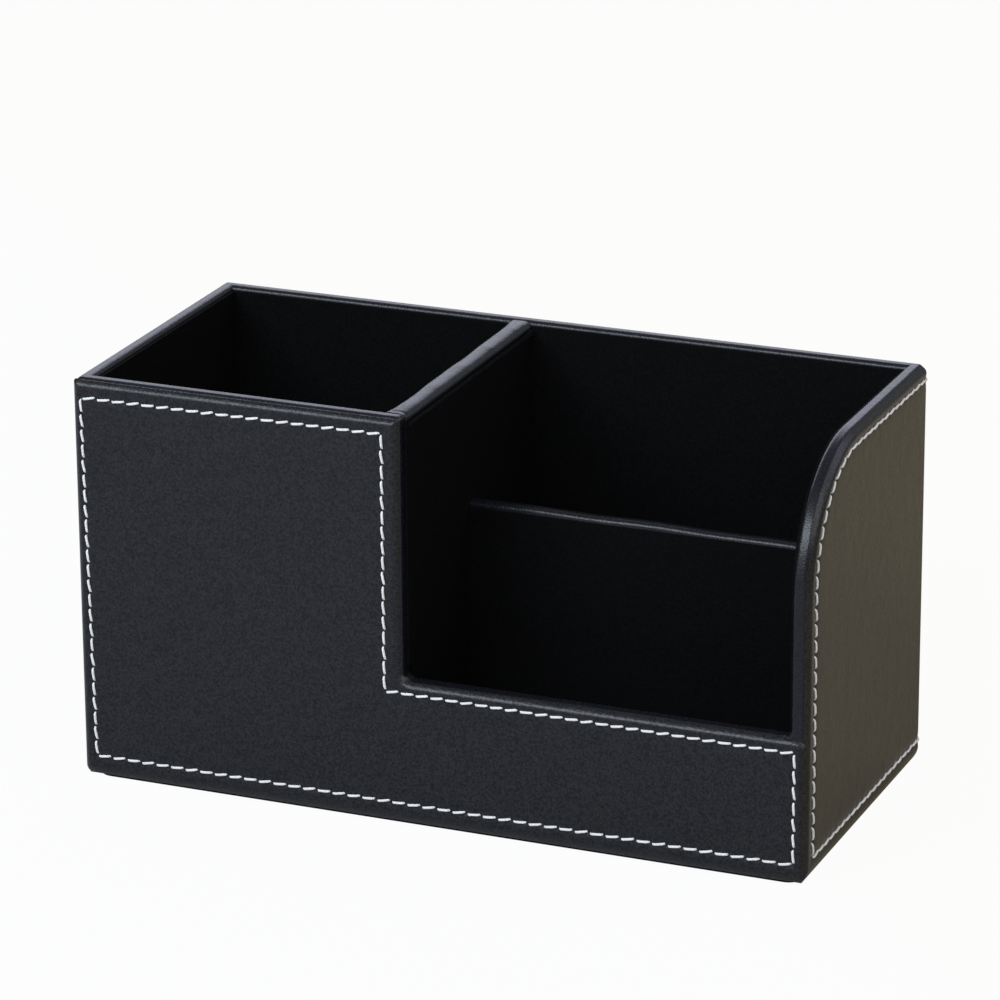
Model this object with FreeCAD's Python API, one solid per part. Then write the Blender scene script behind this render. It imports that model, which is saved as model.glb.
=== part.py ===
"""Desk organizer box: a pinned fibreboard carcass, bound rims, stitched leatherette panels and linings."""
import FreeCAD, Part
import math
import os

# Overall size in millimetres, over the leatherette: X to the right, Y to the back, Z up
WIDTH = 200.0
DEPTH = 92.0
HEIGHT = 110.0

# Layout of the walls
STEP_FROM_LEFT = 91.3          # right-hand rim of the tall pen bay
LOW_WALL_HEIGHT = 39.5         # front wall of the stepped bay
DIVIDER_HEIGHT = 73.7
DIVIDER_FROM_FRONT = 45.5      # to the middle of the divider board
SIDE_CURVE_RADIUS = 35.5       # upper front corner of the right side
REAR_CORNER_RADIUS = 2.2       # upright rear corners
STEP_CORNER_RADIUS = 2.4       # inner corners of the low front opening

# Layers of a wall, from the outside in
PANEL = 0.9                    # stitched leatherette on thin card
BINDING = 0.7                  # leatherette strip folded over the rims
BOARD = 2.4                    # fibreboard
LINING = 1.5                   # covered card
CAP = 0.9                      # strip rolled over the partition's top edge
CAP_FULLNESS = 0.9             # what the roll is fuller by on the pen bay's side
TURN_UNDER = 0.7               # edge of an outer panel, without its card, under the base
FELT = 1.0                     # pad under the base

# Folds and edges of the leatherette
FOLD_RADIUS = 1.3              # bindings over the rims
FOLD_SHARE = 0.48              # largest share of its wall that a fold's radius takes
CAP_RADIUS = 2.3
PANEL_EDGE_RADIUS = 0.8
PANEL_CORNER_RADIUS = 3.0      # the front panel's upper corner at the low right end
RIM_REVEAL = 0.7               # how far the bindings stand out past the panels' edges
TAIL_DEPTH = 10.0              # how far a binding reaches down a wall
UNDER_DEPTH = 12.0             # how far the panels are turned under the base

# Lining panels and pads
LIP_DROP = 1.2                 # lining's top edge below its rim
LINING_SETBACK = 2.2           # lining's front edge behind its rim
FELT_INSET = 2.5
FELT_CORNER_RADIUS = 4.0

# Divider tongues, glued into grooves in the boards at both ends
TONGUE_HEIGHT = 55.0
GROOVE_DEPTH = 1.2
GLUE_GAP = 0.1

# Headless pins that hold the boards together
PIN_SIDE = 0.64
PIN_LENGTH = 12.0
PIN_END_MARGIN = 14.0          # first and last pin of a row from the end of its joint
TALL_ROW_PINS = 3
LOW_ROW_PINS = 2
BASE_LONG_ROW_PINS = 4

# Contrast stitching, on the face of the leatherette
STITCH_PITCH = 4.15
STITCH_LENGTH = 3.4
STITCH_WIDTH = 0.8
STITCH_HEIGHT = 0.5
STITCH_END_SLOPE = 0.6         # length over which a stitch dips to its hole
STITCH_SLANT = 7.0             # degrees, to the line of the seam
STITCH_CORNER_RADIUS = 2.0
FRONT_STITCH_SIDE_INSET = 3.2
FRONT_STITCH_STEP_INSET = 4.8
FRONT_STITCH_LOW_INSET = 3.4
FRONT_STITCH_TOP_INSET = 4.8
STITCH_BOTTOM_HEIGHT = 6.3
SIDE_STITCH_TOP_INSET = 4.0
SIDE_STITCH_FRONT_INSET = 6.0
SIDE_STITCH_CURVE_RADIUS = 29.0

# Outer faces of the panels
LEFT = -WIDTH / 2
RIGHT = WIDTH / 2
FRONT = -DEPTH / 2
BACK = DEPTH / 2
STEP = LEFT + STEP_FROM_LEFT
PANEL_BOTTOM = FELT

# Outer faces of the bindings
LEFT_RIM = LEFT + PANEL
RIGHT_RIM = RIGHT - PANEL
FRONT_RIM = FRONT + PANEL
BACK_RIM = BACK - PANEL

# Faces of the boards
LEFT_OUT = LEFT_RIM + BINDING
LEFT_IN = LEFT_OUT + BOARD
RIGHT_OUT = RIGHT_RIM - BINDING
RIGHT_IN = RIGHT_OUT - BOARD
FRONT_OUT = FRONT_RIM + BINDING
FRONT_IN = FRONT_OUT + BOARD
BACK_OUT = BACK_RIM - BINDING
BACK_IN = BACK_OUT - BOARD
PARTITION_RIGHT = STEP - BINDING
PARTITION_LEFT = PARTITION_RIGHT - BOARD
BOARD_BOTTOM = PANEL_BOTTOM + TURN_UNDER
BOARD_TOP = HEIGHT - BINDING
LOW_BOARD_TOP = LOW_WALL_HEIGHT - BINDING
FLOOR = BOARD_BOTTOM + BOARD
DIVIDER = FRONT + DIVIDER_FROM_FRONT
DIVIDER_FACE = DIVIDER - BOARD / 2
DIVIDER_REAR = DIVIDER + BOARD / 2
DIVIDER_BOARD_TOP = DIVIDER_HEIGHT - BINDING

# Inner faces of the bindings
LEFT_TAIL = LEFT_IN + BINDING
RIGHT_TAIL = RIGHT_IN - BINDING
FRONT_TAIL = FRONT_IN + BINDING
BACK_TAIL = BACK_IN - BINDING

# Upper edges of the panels, and the seam of the two bindings on the right side's front edge
PANEL_TOP = HEIGHT - RIM_REVEAL
LOW_PANEL_TOP = LOW_WALL_HEIGHT - RIM_REVEAL
SEAM_HEIGHT = LOW_WALL_HEIGHT + STEP_CORNER_RADIUS
RIM_RADIUS = min(FOLD_RADIUS, FOLD_SHARE * (BOARD + 2 * BINDING))
BEYOND = WIDTH + DEPTH + HEIGHT      # clears the whole object
TOUCH = 1e-4                         # tolerance for finding an edge


def block(x0, x1, y0, y1, z0, z1):
    """A box between two X, two Y and two Z values."""
    return Part.makeBox(x1 - x0, y1 - y0, z1 - z0, FreeCAD.Vector(x0, y0, z0))


def in_space(u, v, axis, level):
    """A point of an outline, drawn square to an axis at a level along it."""
    if axis == "x":
        return FreeCAD.Vector(level, u, v)
    if axis == "y":
        return FreeCAD.Vector(u, level, v)
    return FreeCAD.Vector(u, v, level)


def outline_wire(corners, axis, level):
    """A closed wire through (u, v, radius) corners, with a tangent arc at each corner that has a radius."""
    edges = []
    previous_end = None
    first_start = None
    for index, (u, v, radius) in enumerate(corners):
        corner = in_space(u, v, axis, level)
        before = in_space(*corners[index - 1][:2], axis, level)
        after = in_space(*corners[(index + 1) % len(corners)][:2], axis, level)
        to_before = (before - corner).normalize()
        to_after = (after - corner).normalize()
        half_angle = to_before.getAngle(to_after) / 2
        start = corner + to_before * (radius / math.tan(half_angle))
        end = corner + to_after * (radius / math.tan(half_angle))
        if previous_end is not None:
            edges.append(Part.makeLine(previous_end, start))
        else:
            first_start = start
        if radius > 0:
            middle_way = (to_before + to_after).normalize()
            middle = corner + middle_way * (radius / math.sin(half_angle) - radius)
            edges.append(Part.Arc(start, middle, end).toShape())
        previous_end = end
    edges.append(Part.makeLine(previous_end, first_start))
    return Part.Wire(edges)


def prism(corners, axis, start, end):
    """An outline drawn square to an axis and pulled along it from start to end."""
    face = Part.Face(outline_wire(corners, axis, start))
    return face.extrude(in_space(0, 0, axis, end - start))


def rectangle(u0, u1, v0, v1):
    """Sharp corners of a rectangle, counter-clockwise."""
    return [(u0, v0, 0), (u1, v0, 0), (u1, v1, 0), (u0, v1, 0)]


def plan_outline(inset):
    """The box seen from above: square at the front, rounded at the rear corners."""
    radius = max(REAR_CORNER_RADIUS - inset, 0)
    return [
        (LEFT + inset, FRONT + inset, 0),
        (RIGHT - inset, FRONT + inset, 0),
        (RIGHT - inset, BACK - inset, radius),
        (LEFT + inset, BACK - inset, radius),
    ]


def side_outline(front, back, bottom, top, radius):
    """The right side seen from its right: a rectangle with a large upper front corner."""
    return [(front, bottom, 0), (back, bottom, 0), (back, top, 0), (front, top, radius)]


def core():
    """The box that the boards fill, out to their outer faces."""
    return prism(plan_outline(PANEL + BINDING), "z", BOARD_BOTTOM, BOARD_TOP)


def plain_boards():
    """The boards before the pins are driven and the divider's grooves are cut."""
    stepped = [
        (LEFT_IN, BOARD_BOTTOM, 0),
        (RIGHT_IN, BOARD_BOTTOM, 0),
        (RIGHT_IN, LOW_BOARD_TOP, 0),
        (PARTITION_RIGHT, LOW_BOARD_TOP, STEP_CORNER_RADIUS + BINDING),
        (PARTITION_RIGHT, BOARD_TOP, 0),
        (LEFT_IN, BOARD_TOP, 0),
    ]
    left = block(LEFT_OUT, LEFT_IN, FRONT_OUT, BACK_OUT, BOARD_BOTTOM, BOARD_TOP)
    curved = side_outline(FRONT_OUT, BACK_OUT, BOARD_BOTTOM, BOARD_TOP, SIDE_CURVE_RADIUS - BINDING)
    return {
        "base_board": block(LEFT_IN, RIGHT_IN, FRONT_IN, BACK_IN, BOARD_BOTTOM, FLOOR),
        "front_board": prism(stepped, "y", FRONT_OUT, FRONT_IN),
        "back_board": block(LEFT_IN, RIGHT_IN, BACK_IN, BACK_OUT, BOARD_BOTTOM, BOARD_TOP).common(core()),
        "left_board": left.common(core()),
        "right_board": prism(curved, "x", RIGHT_IN, RIGHT_OUT).common(core()),
        "partition_board": block(PARTITION_LEFT, PARTITION_RIGHT, FRONT_IN, BACK_IN, FLOOR, BOARD_TOP),
        "divider_board": divider_board(),
    }


def divider_board():
    """The divider between the linings, with a tongue at each end that reaches into the boards."""
    panel = block(PARTITION_RIGHT + LINING, RIGHT_IN - LINING, DIVIDER_FACE, DIVIDER_REAR,
                  FLOOR, DIVIDER_BOARD_TOP)
    tongues = block(PARTITION_RIGHT - GROOVE_DEPTH, RIGHT_IN + GROOVE_DEPTH, DIVIDER_FACE, DIVIDER_REAR,
                    FLOOR, FLOOR + TONGUE_HEIGHT)
    return panel.fuse(tongues).removeSplitter()


def tongue_room():
    """The space that the divider's tongues need in the boards and linings."""
    return block(PARTITION_RIGHT - GROOVE_DEPTH - GLUE_GAP, RIGHT_IN + GROOVE_DEPTH + GLUE_GAP,
                 DIVIDER_FACE - GLUE_GAP, DIVIDER_REAR + GLUE_GAP,
                 FLOOR, FLOOR + TONGUE_HEIGHT + GLUE_GAP)


def spread(start, end, count):
    """Even places along a joint, clear of its ends."""
    first = start + PIN_END_MARGIN
    gap = (end - start - 2 * PIN_END_MARGIN) / (count - 1)
    return [first + gap * index for index in range(count)]


def pin_along_x(x, way, y, z):
    """One pin driven to the left or right from a board's outer face."""
    half = PIN_SIDE / 2
    ends = sorted((x, x + way * PIN_LENGTH))
    return block(*ends, y - half, y + half, z - half, z + half)


def pin_along_y(x, y, way, z):
    """One pin driven to the front or back from a board's outer face."""
    half = PIN_SIDE / 2
    ends = sorted((y, y + way * PIN_LENGTH))
    return block(x - half, x + half, *ends, z - half, z + half)


def pins():
    """Rows of pins through the outer boards into the edges of the boards that they meet."""
    base_middle = BOARD_BOTTOM + BOARD / 2
    front_middle = FRONT_OUT + BOARD / 2
    back_middle = BACK_IN + BOARD / 2
    partition_middle = PARTITION_LEFT + BOARD / 2
    tall = spread(BOARD_BOTTOM, BOARD_TOP, TALL_ROW_PINS)
    low = spread(BOARD_BOTTOM, LOW_BOARD_TOP, LOW_ROW_PINS)
    driven = []
    for z in tall:
        driven.append(pin_along_x(LEFT_OUT, 1, front_middle, z))
        driven.append(pin_along_x(LEFT_OUT, 1, back_middle, z))
        driven.append(pin_along_x(RIGHT_OUT, -1, back_middle, z))
        driven.append(pin_along_y(partition_middle, FRONT_OUT, 1, z))
        driven.append(pin_along_y(partition_middle, BACK_OUT, -1, z))
    for z in low:
        driven.append(pin_along_x(RIGHT_OUT, -1, front_middle, z))
    for y in spread(FRONT_IN, BACK_IN, LOW_ROW_PINS):
        driven.append(pin_along_x(LEFT_OUT, 1, y, base_middle))
        driven.append(pin_along_x(RIGHT_OUT, -1, y, base_middle))
    for x in spread(LEFT_IN, RIGHT_IN, BASE_LONG_ROW_PINS):
        driven.append(pin_along_y(x, FRONT_OUT, 1, base_middle))
        driven.append(pin_along_y(x, BACK_OUT, -1, base_middle))
    solid_core = core()
    return Part.makeCompound([pin.common(solid_core) for pin in driven])


def is_flat_at(edge, axis, level):
    """Whether an edge lies wholly at one level along an axis."""
    box = edge.BoundBox
    low, high = {"x": (box.XMin, box.XMax), "y": (box.YMin, box.YMax), "z": (box.ZMin, box.ZMax)}[axis]
    return abs(low - level) < TOUCH and abs(high - level) < TOUCH


def is_bound(edge):
    """Whether an edge of the uncut bindings is a fold over a rim."""
    if is_flat_at(edge, "y", FRONT_RIM) or is_flat_at(edge, "z", HEIGHT):
        return not is_flat_at(edge, "z", BOARD_BOTTOM)
    round_side = is_flat_at(edge, "x", RIGHT_RIM) or is_flat_at(edge, "x", RIGHT_TAIL)
    return round_side and isinstance(edge.Curve, Part.Circle)


def above_side_curve(left, right, front, top, radius):
    """What the large rounded corner takes off the right side."""
    side = prism(side_outline(front, BACK, BOARD_BOTTOM, top, radius), "x", left, right)
    return block(left, right, front, BACK, BOARD_BOTTOM, top).cut(side)


def bindings_whole():
    """Both rim bindings as one thick ring of wall with rounded rims, before they are hollowed and parted."""
    ring = prism(plan_outline(PANEL), "z", BOARD_BOTTOM, HEIGHT)
    inside = block(LEFT_TAIL, RIGHT_TAIL, FRONT_TAIL, BACK_TAIL, -BEYOND, BEYOND)
    front_opening = [
        (STEP, LOW_WALL_HEIGHT, STEP_CORNER_RADIUS),
        (RIGHT_TAIL, LOW_WALL_HEIGHT, STEP_CORNER_RADIUS),
        (RIGHT_TAIL, BEYOND, 0),
        (STEP, BEYOND, 0),
    ]
    opening = prism(front_opening, "y", FRONT, FRONT_TAIL)
    corner = above_side_curve(RIGHT_TAIL, RIGHT_RIM, FRONT_RIM, HEIGHT, SIDE_CURVE_RADIUS)
    ring = ring.cut(inside).cut(opening).cut(corner)
    return ring.makeFillet(RIM_RADIUS, [edge for edge in ring.Edges if is_bound(edge)])


def side_below_tails(left, right):
    """The right side, below and behind the binding's tails."""
    inset = BINDING + TAIL_DEPTH
    radius = max(SIDE_CURVE_RADIUS - inset, 0)
    outline = side_outline(FRONT_RIM + inset, BACK_RIM, BOARD_BOTTOM, HEIGHT - inset, radius)
    return prism(outline, "x", left, right)


def inner_walls():
    """The layer inside the boards, below the bindings' inner tails."""
    tall_end = BOARD_TOP - TAIL_DEPTH
    low_end = LOW_BOARD_TOP - TAIL_DEPTH
    inset = BINDING + TAIL_DEPTH
    return [
        block(LEFT_IN, PARTITION_RIGHT, FRONT_IN, BACK_IN, BOARD_BOTTOM, tall_end),
        block(PARTITION_RIGHT, RIGHT_TAIL, BACK_TAIL, BACK_IN, BOARD_BOTTOM, tall_end),
        block(PARTITION_RIGHT, RIGHT_IN, FRONT_IN, FRONT_TAIL, BOARD_BOTTOM, low_end),
        side_below_tails(RIGHT_TAIL, RIGHT_IN),
        block(RIGHT_TAIL, RIGHT_IN, FRONT_TAIL, FRONT_RIM + inset, BOARD_BOTTOM, LOW_WALL_HEIGHT),
    ]


def outer_walls():
    """The layer outside the boards, below the bindings' outer tails, and the back wall with its corners."""
    tall_end = BOARD_TOP - TAIL_DEPTH
    low_end = LOW_BOARD_TOP - TAIL_DEPTH
    inset = BINDING + TAIL_DEPTH
    return [
        block(LEFT_RIM, LEFT_OUT, FRONT_RIM, BACK_RIM, BOARD_BOTTOM, tall_end),
        block(LEFT_RIM, RIGHT_RIM, BACK_IN, BACK_RIM, BOARD_BOTTOM, tall_end),
        block(LEFT_RIM, STEP - inset, FRONT_RIM, FRONT_OUT, BOARD_BOTTOM, tall_end),
        block(LEFT_RIM, RIGHT_RIM, FRONT_RIM, FRONT_OUT, BOARD_BOTTOM, low_end),
        side_below_tails(RIGHT_OUT, RIGHT_RIM),
        block(RIGHT_OUT, RIGHT_RIM, FRONT_RIM, FRONT_RIM + inset, BOARD_BOTTOM, low_end),
    ]


def front_rim_zone():
    """The part of the rims that the front binding follows, mitred at its two ends."""
    tall = [(LEFT_RIM, FRONT_RIM, 0), (STEP, FRONT_RIM, 0), (STEP, FRONT_TAIL, 0), (LEFT_TAIL, FRONT_TAIL, 0)]
    low = [
        (STEP, BOARD_BOTTOM, 0),
        (RIGHT_RIM, BOARD_BOTTOM, 0),
        (RIGHT_RIM, LOW_WALL_HEIGHT - RIM_RADIUS, 0),
        (RIGHT_TAIL, SEAM_HEIGHT, 0),
        (STEP, SEAM_HEIGHT, 0),
    ]
    return prism(tall, "z", BOARD_BOTTOM, HEIGHT).fuse(prism(low, "y", FRONT_RIM, FRONT_TAIL))


def bindings(boards):
    """The strips folded over the front rims and over the rims of the left side, back and right side."""
    carcass = [boards[name] for name in
               ("base_board", "front_board", "back_board", "left_board", "right_board", "partition_board")]
    strips = bindings_whole().cut(carcass).cut(inner_walls()).cut(outer_walls())
    zone = front_rim_zone()
    return {
        "front_rim_binding": strips.common(zone).removeSplitter(),
        "surround_rim_binding": strips.cut(zone).removeSplitter(),
    }


def front_cover(bound):
    """The stitched stepped panel on the front, rounded all round and turned under the base."""
    step = STEP - RIM_REVEAL
    stepped = [
        (LEFT, PANEL_BOTTOM, 0),
        (RIGHT, PANEL_BOTTOM, 0),
        (RIGHT, LOW_PANEL_TOP, PANEL_CORNER_RADIUS),
        (step, LOW_PANEL_TOP, STEP_CORNER_RADIUS + RIM_REVEAL),
        (step, PANEL_TOP, 0),
        (LEFT, PANEL_TOP, 0),
    ]
    plate = prism(stepped, "y", FRONT, FRONT_OUT)
    edges = [edge for edge in plate.Edges if is_flat_at(edge, "y", FRONT)]
    rounded = plate.makeFillet(PANEL_EDGE_RADIUS, edges)
    under = block(LEFT_OUT, RIGHT_OUT, FRONT_OUT, FRONT + UNDER_DEPTH, PANEL_BOTTOM, BOARD_BOTTOM)
    return rounded.fuse(under).cut(bound).removeSplitter()


def is_panel_edge(edge):
    """Whether an edge of the uncut surround cover is one of its outer edges."""
    box = edge.BoundBox
    upright = box.ZLength > TOUCH and box.XLength < TOUCH and box.YLength < TOUCH
    along_front = is_flat_at(edge, "y", FRONT_OUT)
    if upright:
        return along_front and (is_flat_at(edge, "x", LEFT) or is_flat_at(edge, "x", RIGHT))
    outermost = box.XMin < LEFT + TOUCH or box.XMax > RIGHT - TOUCH or box.YMax > BACK - TOUCH
    across_wall = along_front or box.YMax > BACK - TOUCH and box.YMin < BACK_OUT and box.XLength < PANEL
    return outermost and not across_wall and not is_flat_at(edge, "y", BACK_OUT)


def surround_cover(bound):
    """The stitched panel in one length round the left side, back and right side, turned under the base."""
    inside = prism(plan_outline(PANEL + BINDING), "z", BOARD_BOTTOM, BEYOND)
    under = block(LEFT + UNDER_DEPTH, RIGHT - UNDER_DEPTH, FRONT, BACK - UNDER_DEPTH, -BEYOND, BEYOND)
    ahead = block(LEFT, RIGHT, FRONT, FRONT_OUT, -BEYOND, BEYOND)
    ring = prism(plan_outline(0), "z", PANEL_BOTTOM, PANEL_TOP).cut(inside).cut(under).cut(ahead)
    radius = SIDE_CURVE_RADIUS - RIM_REVEAL
    corner = above_side_curve(RIGHT_OUT, RIGHT, FRONT_RIM + RIM_REVEAL, PANEL_TOP, radius)
    ring = ring.cut(corner)
    rounded = ring.makeFillet(PANEL_EDGE_RADIUS, [edge for edge in ring.Edges if is_panel_edge(edge)])
    front_turn = block(LEFT_OUT, RIGHT_OUT, FRONT, FRONT + UNDER_DEPTH, PANEL_BOTTOM, BOARD_BOTTOM)
    return rounded.cut(bound).cut(front_turn).removeSplitter()


def partition_cap(board):
    """The strip rolled over the partition's top edge, from the front rim to the back rim."""
    left = PARTITION_LEFT - CAP - CAP_FULLNESS
    right = PARTITION_RIGHT + CAP
    low = BOARD_TOP - TAIL_DEPTH
    radius = min(CAP_RADIUS, FOLD_SHARE * (right - left))
    profile = [(left, low, 0), (right, low, 0), (right, HEIGHT, radius), (left, HEIGHT, radius)]
    return prism(profile, "y", FRONT_TAIL, BACK_TAIL).cut(board)


def divider_sleeve(board):
    """The strip folded over the divider: down its whole rear face, and a tail down its front face."""
    face = DIVIDER_FACE - BINDING
    rear = DIVIDER_REAR + BINDING
    tail_end = DIVIDER_BOARD_TOP - TAIL_DEPTH
    profile = [
        (face, tail_end, 0),
        (DIVIDER, tail_end, 0),
        (DIVIDER, FLOOR, 0),
        (rear, FLOOR, 0),
        (rear, DIVIDER_HEIGHT, RIM_RADIUS),
        (face, DIVIDER_HEIGHT, RIM_RADIUS),
    ]
    return prism(profile, "x", PARTITION_RIGHT + LINING, RIGHT_IN - LINING).cut(board)


def pen_bay_panels():
    """Four lining panels and a floor pad in the tall pen bay."""
    left = LEFT_IN + LINING
    right = PARTITION_LEFT - LINING
    front = FRONT_IN + LINING
    back = BACK_IN - LINING
    top = HEIGHT - LIP_DROP
    return {
        "pen_bay_front_lining": block(LEFT_IN, PARTITION_LEFT, FRONT_IN, front, FLOOR, top),
        "pen_bay_back_lining": block(LEFT_IN, PARTITION_LEFT, back, BACK_IN, FLOOR, top),
        "pen_bay_left_lining": block(LEFT_IN, left, front, back, FLOOR, top),
        "pen_bay_right_lining": block(right, PARTITION_LEFT, front, back, FLOOR, top),
        "pen_bay_floor_pad": block(left, right, front, back, FLOOR, FLOOR + LINING),
    }


def step_bay_panels():
    """Lining panels and floor pads in the stepped bay, in front of and behind the divider."""
    left = PARTITION_RIGHT + LINING
    right = RIGHT_IN - LINING
    front = FRONT_IN + LINING
    back = BACK_IN - LINING
    top = HEIGHT - LIP_DROP
    ear_front = FRONT_RIM + LINING_SETBACK
    ear_bottom = SEAM_HEIGHT + LIP_DROP
    sill = block(LEFT, RIGHT, FRONT, front, PANEL_BOTTOM, ear_bottom)
    curve = side_outline(ear_front, back, FLOOR, top, SIDE_CURVE_RADIUS - LINING_SETBACK)
    flat = side_outline(ear_front, back, FLOOR, top, 0)
    pad_top = FLOOR + LINING
    divider_front = DIVIDER_FACE - LINING
    return {
        "step_bay_front_lining": block(PARTITION_RIGHT, RIGHT_IN, FRONT_IN, front, FLOOR,
                                       LOW_WALL_HEIGHT - LIP_DROP),
        "step_bay_back_lining": block(PARTITION_RIGHT, RIGHT_IN, back, BACK_IN, FLOOR, top),
        "step_bay_left_lining": prism(flat, "x", PARTITION_RIGHT, left).cut(sill).cut(tongue_room()),
        "step_bay_right_lining": prism(curve, "x", right, RIGHT_IN).cut(sill).cut(tongue_room()),
        "divider_front_lining": block(left, right, divider_front, DIVIDER_FACE, FLOOR,
                                      DIVIDER_HEIGHT - LIP_DROP),
        "front_slot_floor_pad": block(left, right, front, divider_front, FLOOR, pad_top),
        "rear_slot_floor_pad": block(left, right, DIVIDER_REAR + BINDING, back, FLOOR, pad_top),
    }


def base_felt():
    """The felt pad that the box stands on, raised in the middle to meet the base board."""
    left = LEFT + FELT_INSET
    right = RIGHT - FELT_INSET
    front = FRONT + FELT_INSET
    back = BACK - FELT_INSET
    outline = [(u, v, FELT_CORNER_RADIUS) for u, v, _ in rectangle(left, right, front, back)]
    raised = block(LEFT + UNDER_DEPTH, RIGHT - UNDER_DEPTH, FRONT + UNDER_DEPTH, BACK - UNDER_DEPTH,
                   0, BOARD_BOTTOM)
    return prism(outline, "z", 0, FELT).fuse(raised).removeSplitter()


def places_along(corners, axis):
    """Middle point and direction of each stitch round a closed seam, drawn as an outline."""
    wire = outline_wire(corners, axis, 0)
    edges = Part.sortEdges(wire.Edges)[0]
    count = round(wire.Length / STITCH_PITCH)
    step = wire.Length / count
    places = []
    passed = 0.0
    for edge in edges:
        while len(places) < count and (len(places) + 0.5) * step <= passed + edge.Length:
            along = edge.getParameterByLength((len(places) + 0.5) * step - passed)
            forward = edge.tangentAt(along)
            if edge.Orientation == "Reversed":
                along = edge.getParameterByLength(edge.Length - (len(places) + 0.5) * step + passed)
                forward = -edge.tangentAt(along)
            places.append((edge.valueAt(along), forward))
        passed += edge.Length
    return places


def stitch(place, forward, outward):
    """One stitch lying on a face: sloped at both ends and slanted to its seam."""
    half = STITCH_LENGTH / 2
    crown = half - STITCH_END_SLOPE
    profile = [(-half, 0, 0), (half, 0, 0), (crown, STITCH_HEIGHT, 0), (-crown, STITCH_HEIGHT, 0)]
    thread = prism(profile, "y", -STITCH_WIDTH / 2, STITCH_WIDTH / 2)
    across = outward.cross(forward)
    turned = FreeCAD.Rotation(outward, STITCH_SLANT)
    frame = FreeCAD.Rotation(forward, across, outward, "ZXY")
    thread.Placement = FreeCAD.Placement(place, turned.multiply(frame))
    return thread


def front_stitching():
    """The closed seam round the stepped front."""
    left = LEFT + FRONT_STITCH_SIDE_INSET
    right = RIGHT - FRONT_STITCH_SIDE_INSET
    step = STEP - FRONT_STITCH_STEP_INSET
    low = LOW_WALL_HEIGHT - FRONT_STITCH_LOW_INSET
    top = HEIGHT - FRONT_STITCH_TOP_INSET
    seam = [(left, STITCH_BOTTOM_HEIGHT), (right, STITCH_BOTTOM_HEIGHT), (right, low), (step, low),
            (step, top), (left, top)]
    outward = FreeCAD.Vector(0, -1, 0)
    on_face = FreeCAD.Vector(0, FRONT, 0)
    corners = [(u, v, STITCH_CORNER_RADIUS) for u, v in seam]
    return Part.makeCompound([stitch(place + on_face, forward, outward)
                              for place, forward in places_along(corners, "y")])


def surround_stitching():
    """The closed seam round the left side, back and right side, drawn flat and wrapped round the box."""
    straight = DEPTH - REAR_CORNER_RADIUS
    quarter = REAR_CORNER_RADIUS * math.pi / 2
    across = WIDTH - 2 * REAR_CORNER_RADIUS
    length = 2 * straight + 2 * quarter + across
    start = SIDE_STITCH_FRONT_INSET
    end = length - SIDE_STITCH_FRONT_INSET
    top = HEIGHT - SIDE_STITCH_TOP_INSET
    seam = [
        (start, STITCH_BOTTOM_HEIGHT, STITCH_CORNER_RADIUS),
        (end, STITCH_BOTTOM_HEIGHT, STITCH_CORNER_RADIUS),
        (end, top, SIDE_STITCH_CURVE_RADIUS),
        (start, top, STITCH_CORNER_RADIUS),
    ]
    sewn = []
    for flat, way in places_along(seam, "y"):
        run = flat.x
        if run < straight:
            turn = 0.0
            base = FreeCAD.Vector(LEFT, FRONT + run, 0)
        elif run < straight + quarter:
            turn = (run - straight) / REAR_CORNER_RADIUS
            centre = FreeCAD.Vector(LEFT + REAR_CORNER_RADIUS, BACK - REAR_CORNER_RADIUS, 0)
            base = centre + FreeCAD.Vector(-math.cos(turn), math.sin(turn), 0) * REAR_CORNER_RADIUS
        elif run < straight + quarter + across:
            turn = math.pi / 2
            base = FreeCAD.Vector(LEFT + REAR_CORNER_RADIUS + run - straight - quarter, BACK, 0)
        elif run < straight + 2 * quarter + across:
            turn = math.pi / 2 + (run - straight - quarter - across) / REAR_CORNER_RADIUS
            centre = FreeCAD.Vector(RIGHT - REAR_CORNER_RADIUS, BACK - REAR_CORNER_RADIUS, 0)
            base = centre + FreeCAD.Vector(-math.cos(turn), math.sin(turn), 0) * REAR_CORNER_RADIUS
        else:
            turn = math.pi
            base = FreeCAD.Vector(RIGHT, FRONT + length - run, 0)
        along = FreeCAD.Vector(math.sin(turn), math.cos(turn), 0)
        outward = FreeCAD.Vector(-math.cos(turn), math.sin(turn), 0)
        forward = along * way.x + FreeCAD.Vector(0, 0, way.z)
        sewn.append(stitch(base + FreeCAD.Vector(0, 0, flat.z), forward, outward))
    return Part.makeCompound(sewn)


def finished_boards(boards, nails):
    """The boards with their pin holes and the divider's grooves."""
    grooved = dict(boards)
    for name in ("partition_board", "right_board"):
        grooved[name] = grooved[name].cut(tongue_room())
    return {name: board.cut(nails) for name, board in grooved.items()}


def organizer():
    """Every piece of the organizer by name."""
    boards = plain_boards()
    nails = pins()
    pieces = bindings(boards)
    pieces["partition_cap"] = partition_cap(boards["partition_board"])
    pieces["divider_sleeve"] = divider_sleeve(boards["divider_board"])
    turned_in = list(pieces.values())
    panels = {**pen_bay_panels(), **step_bay_panels()}
    for name, panel in panels.items():
        pieces[name] = panel.cut(turned_in)
    bound = [pieces["front_rim_binding"], pieces["surround_rim_binding"]]
    pieces["front_cover"] = front_cover(bound)
    pieces["surround_cover"] = surround_cover(bound)
    pieces.update(finished_boards(boards, nails))
    pieces["pin_nails"] = nails
    pieces["base_felt"] = base_felt()
    pieces["front_stitching"] = front_stitching()
    pieces["surround_stitching"] = surround_stitching()
    return pieces


os.makedirs("parts", exist_ok=True)
for node, shape in organizer().items():
    shape.exportStep(f"parts/{node}.step")
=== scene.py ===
"""Looks of the desk organizer box: padded stitched panels, bound rims, linings and a plain studio."""
import bmesh
import bpy
import math
from mathutils import Matrix, Vector


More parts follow.
